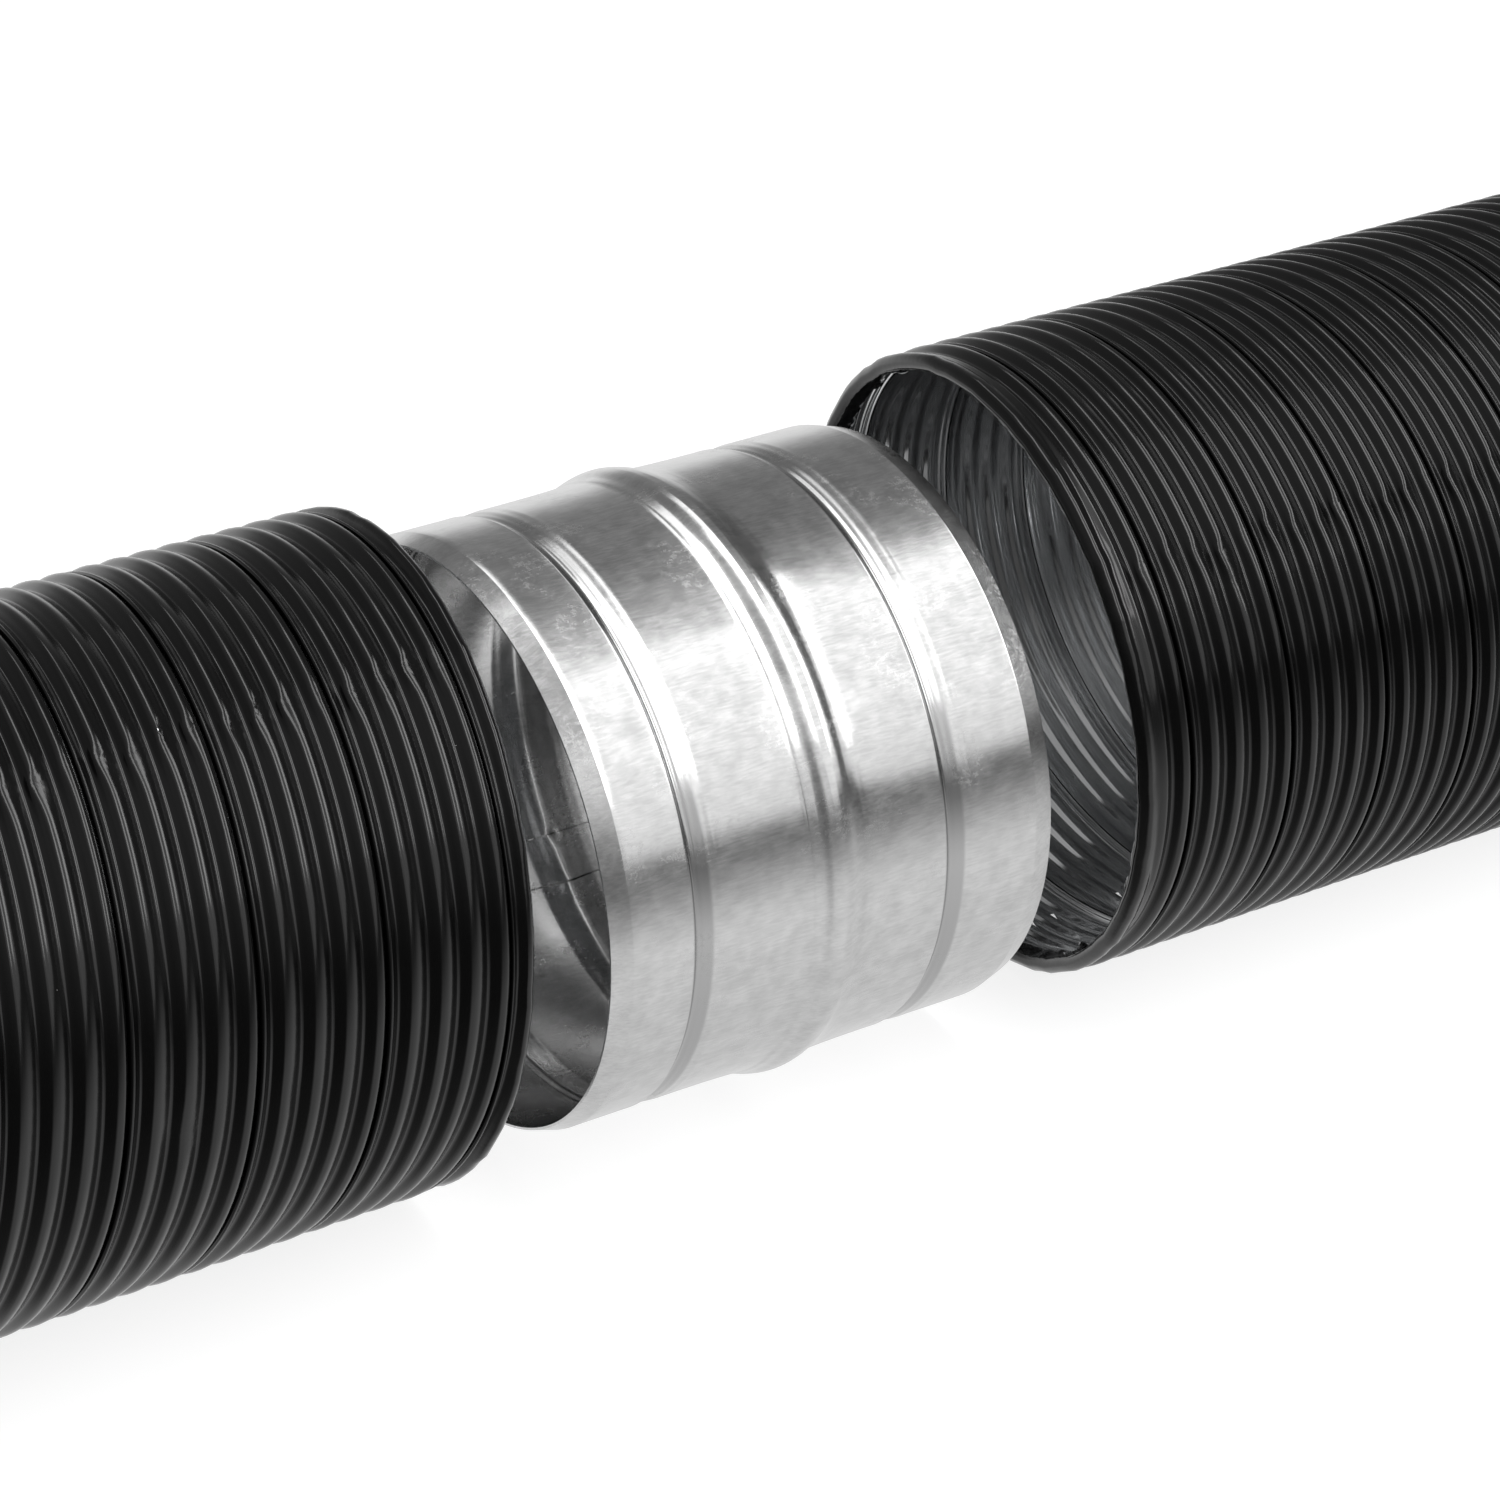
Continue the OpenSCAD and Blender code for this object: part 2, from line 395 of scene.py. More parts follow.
def strip_profile(sizes, outside):
    """One strip's cross-section as (along, radius), from the lock seam's slit to the next one."""
    wave = rib_wave(sizes, 12 if outside else 9)
    if not outside:
        slope = np.gradient(wave, axis=0)
        slope /= np.linalg.norm(slope, axis=1, keepdims=True)
        wave += sizes.foil * np.stack([slope[:, 1], -slope[:, 0]], -1)
    knots = SEAM_OUTSIDE if outside else SEAM_INSIDE
    seam = np.array([(u * MM, CREST_R - depth * MM) for u, depth in knots])
    wave = wave[wave[:, 0] < sizes.lead + seam[0, 0] - 0.15 * MM]
    return np.concatenate([seam, wave])


LIP_BELOW_CRESTS = 0.1 * MM


def lip_path(sizes, turn, inset, proud=0.0):
    """The rolled lip as (distance from the duct's end, radius), at an angle round the roll."""
    centre = CREST_R - LIP_BELOW_CRESTS - sizes.lip_height
    wide, high = sizes.lip_width - inset + proud, sizes.lip_height - inset + proud
    # The crown is narrow, and falls off towards the duct's end nearly straight
    level = np.where(np.cos(turn) > 0, np.maximum(np.cos(turn), 0) ** 1.8, np.cos(turn))
    return sizes.lip_width - wide * np.sin(turn), centre + high * level


# The right duct was pushed together most at this distance from its mouth, and over this length
SQUEEZE_MIDDLE, SQUEEZE_REACH = 103 * MM, 70 * MM


def wound(duct, along, angle):
    """Where a point of the wound strip lies once the duct is squeezed a little and leans."""
    away = (along - duct["mouth"]) * duct["outward"]
    closer = np.tanh((away - SQUEEZE_MIDDLE) / SQUEEZE_REACH)
    closer += math.tanh(SQUEEZE_MIDDLE / SQUEEZE_REACH)
    along = along - duct["outward"] * duct["squeeze"] * SQUEEZE_REACH * closer
    up, up_more, front, front_more = duct["lean"]
    far = np.minimum(away / (100 * MM), 1.3)
    return along + (up + up_more * far) * np.cos(angle) + (front + front_more * far) * np.sin(angle)


def duct_ends(duct, angle):
    """Where a duct starts and stops at an angle round it: its mouth is cut a little askew."""
    level, up, front = duct["askew"]
    mouth = duct["mouth"] + level + up * np.cos(angle) + front * np.sin(angle)
    far = np.zeros_like(mouth) + (duct["stop"] if duct["outward"] > 0 else duct["start"])
    return (mouth, far) if duct["outward"] > 0 else (far, mouth)


DEEPEST_DENT = 2.2 * MM


def bend_foil(duct, along, angle, radius, calm=1.0):
    """Moves points of a duct's skin for its dents and creases, and puts them in space. Creases
    shift points along the duct by the share `calm`. Returns the points and how dented they are."""
    sizes = duct["sizes"]
    start, stop = duct_ends(duct, angle)
    height = np.clip((radius - (CREST_R - sizes.rib_depth)) / sizes.rib_depth, 0, 1)
    at_end = np.minimum(along - start, stop - along)
    # The lip reaches 3 mm from a duct's end and fades over the next 3 mm. It is stiff, so that
    # creases and waves only start behind it.
    lip = 1 - ease(at_end / (3 * MM) - 1)
    loose = ease(at_end / (9 * MM) - 0.35)
    shift = np.zeros_like(along)
    sink = np.zeros_like(along)
    dented = np.zeros_like(along)
    rib = np.floor((along - duct["phase"]) / sizes.rib_spacing)
    # A crease runs along the duct, and each rib it crosses is pushed aside and in by its own share
    for crease_angle, first, last, sideways, depth in duct["creases"]:
        within = ease((along - first) / (8 * MM)) * ease((last - along) / (8 * MM)) * loose
        uneven = 0.7 + 0.3 * np.sin(rib * 2.4 + crease_angle * 7)
        off = (angle - crease_angle - math.radians(1.2) * np.sin(rib * 1.7) + math.pi) % TURN - math.pi
        near = bell(off, np.where(off < 0, math.radians(2), math.radians(4))) * within * uneven
        sharp = bell(off, math.radians(1.6)) * within * uneven
        shift += sideways * near * height**1.5
        sink += (depth + 0.1 * MM * np.sin(along / (0.43 * MM) + angle * 190)) * sharp * height
        dented += sharp * height
    for place, at_angle, width, depth in duct["dents"]:
        off = (angle - at_angle + math.pi) % TURN - math.pi
        away = np.hypot(along - place, off * CREST_R)
        sink += depth * bell(away, width) * (0.35 + 0.65 * height)
        dented += 0.5 * bell(away, width)
    # The duct is slightly uneven all over, though not where it lies on the table
    wave = np.sin(along / (41 * MM) + 2 * angle + duct["seed"]) + np.sin(along / (67 * MM) - 3 * angle)
    sink += 0.12 * MM * (1 + wave / 2) * loose * ease(1.4 - abs(angle / math.pi) * 1.2)
    # The rolled lip is uneven, and a valley 1 mm deep sets it off from the ribs
    uneven = np.sin(23 * angle + duct["seed"]) + np.sin(41 * angle + 2) + np.sin(67 * angle)
    sink += lip * 0.09 * MM * (3 + uneven) + 1 * MM * bell(at_end - 5.2 * MM, 1.3 * MM)
    radius = radius - np.minimum(sink, DEEPEST_DENT)
    z = np.maximum(DUCT_Z + radius * np.cos(angle), 0)
    points = np.stack([along + shift * calm, -radius * np.sin(angle), z], -1)
    return points, np.clip(dented + 0.25 * lip, 0, 1)


class Skin:
    """Points, faces and face marks of a mesh that is built up sheet by sheet."""

    def __init__(self):
        self.points, self.dents, self.places = [], [], []
        self.faces, self.marks, self.wraps = [], [], []
        self.count = 0

    def add_points(self, points, dents, places):
        """Adds points and returns the number of the first one."""
        first = self.count
        self.points.append(points)
        self.dents.append(dents)
        self.places.append(places)
        self.count += len(points)
        return first

    def add_face(self, corners, mark, wrap, outside):
        """Adds a face whose corners run along the duct first and round it next."""
        self.faces.append(corners[::-1] if outside else corners)
        self.marks.append(mark)
        self.wraps.append(wrap)


LACQUER, FOIL, TORN = 0, 1, 2
# The wound ribs stop this far from a duct's end, and these rows lead on from them to the lip
EDGE_CUT = 5.6 * MM
BLEND_ROWS = np.array([5.4, 4.9, 4.4, 3.9, 3.4, 2.9]) * MM
# How far the lip is rolled in, from its crown
LIP_TURN = math.radians(150)
# The strip is wound this far past the duct's ends before it is cut, so that none is missing
SPARE_STRIP = 60 * MM
# Rows closer to the cut than this are left out, because their faces would be slivers
CLOSEST_ROW = 0.1 * MM


def duct_columns(duct):
    """The angles at which a skin has points: 1 degree apart beside a crease, and 3 elsewhere."""
    creases = [crease[0] for crease in duct["creases"]]
    angles, angle = [], -math.pi
    while angle < math.pi - math.radians(0.8):
        angles.append(angle)
        near = min(abs(angle - crease) for crease in creases)
        angle += math.radians(1.0 if near < math.radians(7) else 3.0)
    return np.array(angles)


def add_skin(skin, duct, angles, outside):
    """Adds the outer or inner surface of the foil, with the rolled lips. Returns the numbers of
    each column's first and last point, on the lips' edges."""
    sizes = duct["sizes"]
    profile = strip_profile(sizes, outside)
    rows, per_turn = profile[:, 0], len(profile)
    off, lip_r = lip_path(
        sizes, np.linspace(0, LIP_TURN, 10 if outside else 7), 0 if outside else sizes.foil
    )
    mark = LACQUER if outside else FOIL
    columns, edges = [], []
    for angle in angles:
        start, stop = duct_ends(duct, angle)
        low, high = start + EDGE_CUT, stop - EDGE_CUT
        helix = duct["phase"] - sizes.lead * angle / TURN
        turns = np.arange(
            math.floor((low - SPARE_STRIP - helix) / sizes.lead),
            math.ceil((high + SPARE_STRIP - helix) / sizes.lead),
        )
        all_x = wound(duct, (helix + turns[:, None] * sizes.lead + rows[None, :]).ravel(), angle)
        numbers = (turns[:, None] * per_turn + np.arange(per_turn)[None, :]).ravel()
        all_r = np.tile(profile[:, 1], len(turns))
        from_slit = np.tile(np.minimum(abs(rows), sizes.lead - rows), len(turns))
        keep = (all_x > low + CLOSEST_ROW) & (all_x < high - CLOSEST_ROW)
        body_x, body_r, numbers = all_x[keep], all_r[keep], numbers[keep]
        ends = []
        for end, side in ((start, 1), (stop, -1)):
            x = end + side * BLEND_ROWS
            blended = ease((EDGE_CUT - BLEND_ROWS) / (EDGE_CUT - sizes.lip_width))
            r = np.interp(x, all_x, all_r) * (1 - blended) + lip_r[0] * blended
            ends.append((np.concatenate([x, end + side * off]), np.concatenate([r, lip_r])))
        # Both ends run from the ribs outwards, and the column from one lip's edge to the other's
        (xa, ra), (xb, rb) = ends
        x = np.concatenate([xa[::-1], body_x, xb])
        r = np.concatenate([ra[::-1], body_r, rb])
        # Creases push the ribs sideways, but not the lips or the foil beside the lock seam
        calm = np.zeros_like(x)
        calm[len(xa) : len(xa) + len(body_x)] = ease(from_slit[keep] / (2.5 * MM) - 0.4)
        points, dented = bend_foil(duct, x, np.full(len(x), angle), r, calm)
        steps = np.hypot(np.diff(x, prepend=x[0]), np.diff(r, prepend=r[0]))
        places = np.stack([np.cumsum(steps), np.full(len(x), angle)], -1)
        first = skin.add_points(points, dented, places)
        columns.append((first, numbers[0], numbers[-1]))
        edges.append((first, first + len(x) - 1))
    join_columns(skin, columns, len(xa), per_turn, mark, outside)
    return edges


def join_columns(skin, columns, lip, per_turn, mark, outside):
    """Adds the faces between each two columns of points. A column has its first point's number and
    the numbers of the first and last of the strip's rows, counted along the winding, that it has
    between its two lips of `lip` points each."""
    for i, (first, low, high) in enumerate(columns):
        wrap = i == len(columns) - 1
        first2, low2, high2 = columns[0 if wrap else i + 1]
        # One time round, the strip has moved on by one turn
        carried = per_turn if wrap else 0
        low2, high2 = low2 + carried, high2 + carried
        start, stop = max(low, low2), min(high, high2)

        def here(number):
            return first + lip + number - low

        def there(number):
            return first2 + lip + number - low2

        def face(*corners):
            skin.add_face(corners, mark, wrap, outside)

        for k in range(lip - 1):
            face(first + k, first + k + 1, first2 + k + 1, first2 + k)
        # Where one column has rows that its neighbour lacks, triangles fan out from the lip
        edge, edge2 = first + lip - 1, first2 + lip - 1
        for number in range(low, start):
            face(edge2, here(number), here(number + 1))
        for number in range(low2, start):
            face(edge, there(number + 1), there(number))
        if low < start:
            face(edge, here(low), edge2)
            face(here(start), there(start), edge2)
        elif low2 < start:
            face(edge, there(low2), edge2)
            face(edge, here(start), there(start))
        else:
            face(edge, here(start), there(start), edge2)
        for number in range(start, stop):
            face(here(number), here(number + 1), there(number + 1), there(number))
        edge, edge2 = here(high) + 1, there(high2) + 1
        for number in range(stop, high):
            face(here(number), here(number + 1), edge2)
        for number in range(stop, high2):
            face(edge, there(number + 1), there(number))
        if high > stop:
            face(here(stop), edge2, there(stop))
            face(here(high), edge, edge2)
        elif high2 > stop:
            face(here(stop), edge, there(stop))
            face(there(high2), edge, edge2)
        else:
            face(here(stop), edge, edge2, there(stop))
        for k in range(lip - 1):
            face(edge + k, edge + k + 1, edge2 + k + 1, edge2 + k)


def close_lips(skin, outer, inner):
    """Joins the outer and inner surfaces along the lips' edges."""
    for i in range(len(outer)):
        wrap = i == len(outer) - 1
        k = 0 if wrap else i + 1
        for end, order in ((0, 1), (1, -1)):
            corners = (outer[i][end], outer[k][end], inner[k][end], inner[i][end])
            skin.add_face(corners[::order], FOIL, wrap, False)


# Where the hem stands inwards, and how far it may reach at its shortest and longest
FRONT_HEM = math.radians(62)
HEM_LIMITS = (0.2 * MM, 6.5 * MM)


def add_torn_edge(skin, duct, side, seed):
    """Adds the hem behind a rolled lip, whose edge is torn where the foil was cut off. It lies
    against the wall, and in front it stands inwards instead."""
    sizes = duct["sizes"]
    angles = np.linspace(-math.pi, math.pi, 720, endpoint=False)
    # Long waves, teeth, notches and curls make the torn edge, and the lacquer flakes off it
    rough = ripple(angles, seed, 3, 19)
    teeth = ripple(angles, seed + 1, 70, 175)
    notch = np.maximum(ripple(angles, seed + 2, 12, 70), 0) ** 2
    curl = np.maximum(ripple(angles, seed + 3, 14, 90), 0)
    bare = ripple(angles, seed + 4, 9, 110) > -0.5
    inwards = ease((np.cos(angles - FRONT_HEM) - 0.35) * 3)[:, None]
    hem = sizes.hem * (1 + 0.2 * rough + 0.1 * teeth - 0.3 * notch) * (1 - 0.25 * inwards[:, 0])
    for at, width, amount in duct["tears"]:
        hem = hem + amount * bell((angles - at + math.pi) % TURN - math.pi, width)
    hem = np.clip(hem, *HEM_LIMITS)[:, None]
    # The foil runs on round the lip's roll, and then straight on in four steps to its edge
    turn = LIP_TURN - math.radians(4) + np.radians([0, 12, 23, 34]) * (1 - 0.7 * inwards)
    shares = np.array([0.35, 0.65, 0.84, 1.0])
    end = duct_ends(duct, angles)[0 if side > 0 else 1][:, None]
    rows = []
    for inset, proud in ((0, 0.03 * MM), (sizes.foil, 0.0)):
        roll_off, roll_r = lip_path(sizes, turn, inset, proud)
        off = roll_off[:, -1:] + hem * shares * (1 - 0.9 * inwards)
        lift = 0.14 * hem * shares - (0.05 + 0.35 * curl[:, None]) * MM * 2 * shares**2
        lift = lift * (1 - 0.9 * inwards) - 0.36 * hem * shares * inwards
        x = end + side * np.concatenate([roll_off, off], 1)
        radius = np.concatenate([roll_r, roll_r[:, -1:] + lift], 1)
        angle = np.repeat(angles[:, None], x.shape[1], 1)
        points, dented = bend_foil(duct, x.ravel(), angle.ravel(), radius.ravel())
        across = np.tile(np.linspace(0, 5 * MM, x.shape[1]), len(angles))
        rows.append(skin.add_points(points, dented, np.stack([across, angle.ravel()], -1)))
    width = x.shape[1]
    for i in range(len(angles)):
        wrap = i == len(angles) - 1
        k = 0 if wrap else i + 1
        for part, first in enumerate(rows):
            outside = (part == 0) == (side < 0)
            for j in range(width - 1):
                a, b = first + i * width + j, first + k * width + j
                # The lacquer has come off along parts of the torn edge
                lacquered = part == 0 and not (j == width - 2 and bare[i])
                skin.add_face((a, a + 1, b + 1, b), LACQUER if lacquered else TORN, wrap, outside)
        for j, flip in ((0, side > 0), (width - 1, side < 0)):
            a, b = rows[0] + i * width + j, rows[0] + k * width + j
            c, d = rows[1] + i * width + j, rows[1] + k * width + j
            skin.add_face((a, b, d, c), TORN, wrap, flip)


def face_normals(points, faces):
    """The normal of each face, as long as twice its area."""
    corners = np.array([f if len(f) == 4 else (*f, f[0]) for f in faces])
    a, b, c, d = (points[corners[:, k]] for k in range(4))
    return corners, np.cross(c - a, d - b)


def make_mesh(name, points, faces, materials, marks=None, normals=None):
    """A smooth-shaded mesh object."""
    mesh = bpy.data.meshes.new(name)
    mesh.from_pydata([tuple(p) for p in points], [], [tuple(f) for f in faces])
    for material in materials:
        mesh.materials.append(material)
    if marks is not None:
        mesh.polygons.foreach_set("material_index", np.array(marks, np.int32))
    mesh.polygons.foreach_set("use_smooth", np.ones(len(faces), bool))
    if normals is not None:
        mesh.normals_split_custom_set_from_vertices([tuple(n) for n in normals])
    piece = bpy.data.objects.new(name, mesh)
    bpy.context.scene.collection.objects.link(piece)
    return piece


def set_attribute(mesh, name, values):
    """Stores one number for each point."""
    attribute = mesh.attributes.new(name, "FLOAT", "POINT")
    attribute.data.foreach_set("value", np.asarray(values, np.float32))


def set_map(mesh, places, wraps, marks, length):
    """Lays the outer surface in one half of the picture map and the inner one in the other."""
    layer = mesh.uv_layers.new(name="OFBake")
    starts = np.zeros(len(mesh.polygons), np.int32)
    counts = np.zeros(len(mesh.polygons), np.int32)
    mesh.polygons.foreach_get("loop_start", starts)
    mesh.polygons.foreach_get("loop_total", counts)
    vertices = np.zeros(len(mesh.loops), np.int32)
    mesh.loops.foreach_get("vertex_index", vertices)
    face_of = np.repeat(np.arange(len(counts)), counts)
    along = places[vertices, 0] / length
    around = places[vertices, 1] / TURN + 0.5
    around = np.where(np.array(wraps)[face_of] & (around < 0.25), around + 1, around)
    half = np.minimum(marks, FOIL)[face_of]
    flat = np.stack([0.01 + 0.98 * np.clip(along, 0, 1), 0.005 + 0.49 * around + 0.5 * half], -1)
    layer.data.foreach_set("uv", flat.astype(np.float32).ravel())


def build_duct(duct, materials):
    """Builds one duct and divides it into its mouth half and its far half."""
    skin = Skin()
    angles = duct_columns(duct)
    outer = add_skin(skin, duct, angles, True)
    inner = add_skin(skin, duct, angles, False)
    close_lips(skin, outer, inner)
    add_torn_edge(skin, duct, 1, duct["seed"])
    add_torn_edge(skin, duct, -1, duct["seed"] + 5)
    points = np.concatenate(skin.points)
    dents, places = np.concatenate(skin.dents), np.concatenate(skin.places)
    corners, flat = face_normals(points, skin.faces)
    normals = np.zeros_like(points)
    for k in range(4):
        np.add.at(normals, corners[:, k], flat)
    normals /= np.maximum(np.linalg.norm(normals, axis=1, keepdims=True), 1e-12)
    middle = points[corners].mean(1)[:, 0]
    near_mouth = (middle < duct["split"]) == (duct["mouth"] < duct["split"])
    marks, wraps = np.array(skin.marks), np.array(skin.wraps)
    pieces = []
    for part, chosen in (("mouth_half", near_mouth), ("far_half", ~near_mouth)):
        which = np.flatnonzero(chosen)
        used = np.unique(corners[which])
        number = np.full(len(points), -1)
        number[used] = np.arange(len(used))
        faces = [[number[v] for v in skin.faces[w]] for w in which]
        name = f"{duct['name']}_{part}"
        piece = make_mesh(name, points[used], faces, materials, marks[which], normals[used])
        set_attribute(piece.data, "dented", dents[used])
        span = places[used][:, 0]
        shifted = places[used] - np.array([[span.min(), 0]])
        set_map(piece.data, shifted, wraps[which], marks[which], np.ptp(span))
        pieces.append(piece)
    return pieces


# ---- Operators ----


# The studio's tone by the angle above the horizon, in degrees: dim to the left, pale paper below
# and a pale ceiling to the right, and pale paper behind
STUDIO_TONES = {
    "left": (
        (-90, "#959595"), (-45, "#707070"), (-20, "#4c4c4c"), (0, "#4c4c4c"),
        (12, "#696969"), (25, "#868686"), (42, "#a6a6a6"), (66, "#a2a2a2"),
    ),
    "right": (
        (-90, "#e7e7e7"), (-28, "#ffffff"), (-20, "#e3e3e3"), (-11, "#b2b2b2"),
        (-4, "#808080"), (4, "#808080"), (52, "#959595"), (60, "#d0d0d0"),
    ),
    "back": (
        (-90, "#e7e7e7"), (0, "#ffffff"), (5, "#e0e0e0"), (11, "#a8a8a8"),
        (20, "#8a8a8a"), (30, "#828282"), (50, "#7c7c7c"), (66, "#aaaaaa"),
    ),
}


class AIRDUCT_OT_stage(bpy.types.Operator):
    """Makes the camera, the pale floor, the soft boxes and the dim studio round them"""

    bl_idname = "airduct.stage"
    bl_label = "Studio Stage"

    def execute(self, context):
        finish = context.scene.airduct_finish
        camera = bpy.data.objects.new("camera", bpy.data.cameras.new("camera"))
        camera.data.lens, camera.data.sensor_width = CAMERA_LENS, 36
        camera.data.clip_start, camera.data.clip_end = 0.05, 60
        camera.location = CAMERA_AT
        camera.rotation_mode = "QUATERNION"
        camera.rotation_quaternion = Vector(CAMERA_ALONG).to_track_quat("-Z", "Y")
        context.scene.collection.objects.link(camera)
        context.scene.camera = camera
        context.scene.view_settings.view_transform = "Standard"

        reach = 25  # metres of floor on each side
        corners = [(-reach, -reach, 0), (reach, -reach, 0), (reach, reach, 0), (-reach, reach, 0)]
        material, tree = new_material("matt_white_paper")
        # Seamless paper: matt, and lifted to white where the camera sees it
        paper = add(tree, "ShaderNodeBsdfDiffuse", Color=toned(finish.floor, 0.36), Roughness=0.0)
        ray = add(tree, "ShaderNodeLightPath").outputs
        seen = add(
            tree, "ShaderNodeMath", {"operation": "MAXIMUM"},
            in0=ray["Is Camera Ray"], in1=ray["Is Transmission Ray"],
        )
        lift = add(tree, "ShaderNodeMath", {"operation": "MULTIPLY"}, in0=seen, in1=0.84)
        glow = add(tree, "ShaderNodeEmission", Strength=lift)
        both = add(tree, "ShaderNodeAddShader", in0=paper, in1=glow)
        add(tree, "ShaderNodeOutputMaterial", Surface=both)
        floor = make_mesh("floor", corners, [(0, 1, 2, 3)], [material])
        # Metal and lacquer mirror the world below the horizon in the paper's place
        floor.visible_glossy = False

        # The lamps face the middle of the run
        aim = Vector((0, 0, 0.08))
        lamps = (
            # name, place, direction of its length, length, width, radiance
            ("front_soft_box", (1.2, -1.42, 1.42), (0.8, 0.6, 0), 2.3, 2.75, 0.98),
            ("left_soft_box", (-0.04, -2.35, 1.35), (0.8, 0.6, 0), 0.8, 2.4, 0.7),
            ("long_strip_box", (0.285, -0.576, 1.716), (-0.04, 0.96, 0.27), 2.9, 0.42, 4.2),
            ("back_strip_box", (0.62, 1.43, 2.38), (0.25, 0.95, 0.2), 1.3, 0.42, 1.9),
            ("short_strip_box", (1.75, -0.72, 1.5), (-0.09, 0.84, 0.53), 2.2, 0.5, 4.8),
        )
        for name, place, along, length, width, radiance in lamps:
            light = bpy.data.lights.new(name, "AREA")
            light.shape, light.size, light.size_y = "RECTANGLE", length, width
            light.energy = radiance * length * width * math.pi
            lamp = bpy.data.objects.new(name, light)
            lamp.location = place
            away = (Vector(place) - aim).normalized()
            across = away.cross(Vector(along)).normalized()
            lamp.rotation_mode = "QUATERNION"
            turned = Matrix((across.cross(away), across, away)).transposed()
            lamp.rotation_quaternion = turned.to_quaternion()
            lamp.visible_camera = False
            context.scene.collection.objects.link(lamp)

        world = bpy.data.worlds.new("studio")
        world.use_nodes = True
        tree = world.node_tree
        tree.nodes.clear()
        # Height is 0 straight down, 0.5 at the horizon and 1 straight up
        way = add(tree, "ShaderNodeTexCoord").outputs["Generated"]
        across, back, height = add(tree, "ShaderNodeSeparateXYZ", Vector=way).outputs
        height = add(tree, "ShaderNodeMapRange", Value=height, From_Min=-1.0, From_Max=1.0)
        tones = {}
        for side, stops in STUDIO_TONES.items():
            ramp = add(tree, "ShaderNodeValToRGB", Fac=height)
            knots = ramp.color_ramp.elements
            for number, (rise, tone) in enumerate(stops):
                knot = knots[number] if number < 2 else knots.new(1)
                knot.position = (math.sin(math.radians(rise)) + 1) / 2
                knot.color = linear(tone)
            tones[side] = ramp
        to_right = add(
            tree, "ShaderNodeMapRange", {"interpolation_type": "SMOOTHSTEP"},
            Value=across, From_Min=-0.4, From_Max=0.0,
        )
        to_back = add(
            tree, "ShaderNodeMapRange", {"interpolation_type": "SMOOTHSTEP"},
            Value=back, From_Min=-0.05, From_Max=0.3,
        )
        front = add(
            tree, "ShaderNodeMix", {"data_type": "RGBA"},
            Factor=to_right, in6=tones["left"], in7=tones["right"],
        )
        studio = add(
            tree, "ShaderNodeMix", {"data_type": "RGBA"},
            Factor=to_back, in6=front.outputs[2], in7=tones["back"],
        )
        # Far to the right the studio is dim again above the paper
        aside = add(
            tree, "ShaderNodeMapRange", {"interpolation_type": "SMOOTHSTEP"},
            Value=across, From_Min=0.5, From_Max=0.75, To_Max=0.8,
        )
        above = add(
            tree, "ShaderNodeMapRange", {"interpolation_type": "SMOOTHSTEP"},
            Value=height, From_Min=0.36, From_Max=0.48, To_Min=0.15,
        )
        aside = add(tree, "ShaderNodeMath", {"operation": "MULTIPLY"}, in0=aside, in1=above)
        studio = add(
            tree, "ShaderNodeMix", {"data_type": "RGBA"},
            Factor=aside, in6=studio.outputs[2], in7=linear("#4c4c4c"),
        )
        # The camera sees white behind everything
        ray = add(tree, "ShaderNodeLightPath").outputs
        seen = add(
            tree, "ShaderNodeMath", {"operation": "MAXIMUM"},
            in0=ray["Is Camera Ray"], in1=ray["Is Transmission Ray"],
        )
        sky = add(
            tree, "ShaderNodeMix", {"data_type": "RGBA"},
            Factor=seen, in6=studio.outputs[2], in7=linear("#ffffff"),
        )
        backdrop = add(tree, "ShaderNodeBackground", Color=sky.outputs[2])
        add(tree, "ShaderNodeOutputWorld", Surface=backdrop)
        context.scene.world = world
        return {"FINISHED"}


# Each groove across its width, from one edge to the other: the sheet's height there as a share of
# the groove's depth. Its left wall is steep, and its right wall rises slowly in two steps.
GROOVE_WAVE = (
    (-0.5, 0), (-0.447, 0.02), (-0.394, -0.38), (-0.34, -0.82), (-0.287, -1), (-0.223, -0.98),
    (-0.138, -0.74), (-0.043, -0.6), (0.096, -0.33), (0.245, -0.18), (0.415, 0.02), (0.5, 0),
)
GROOVE_SHIFT = -0.9 * MM
# How far the swell beside the bead reaches
SWELL_REACH = 7 * MM
# The lap: how high its outer edge stands, how far round the sheet dives under it, and where its
# spot welds lie from the bead's middle and from the rims
LAP_STEP = 0.32 * MM
LAP_DIVE = math.radians(26)
WELD_FROM_BEAD, WELD_FROM_RIM = 16 * MM, 13 * MM


def smooth_curve(points, at):
    """A curve through points, eased between each two, that is level before and after them."""
    spots, heights = np.array(points).T
    number = np.clip(np.searchsorted(spots, at) - 1, 0, len(spots) - 2)
    slopes = np.gradient(heights, spots)
    slopes[[0, -1]] = 0
    width = spots[number + 1] - spots[number]
    t = np.clip((at - spots[number]) / width, 0, 1)
    low, high = heights[number], heights[number + 1]
    return (
        low * (2 * t**3 - 3 * t**2 + 1)
        + high * (3 * t**2 - 2 * t**3)
        + slopes[number] * width * (t**3 - 2 * t**2 + t)
        + slopes[number + 1] * width * (t**3 - t**2)
    )


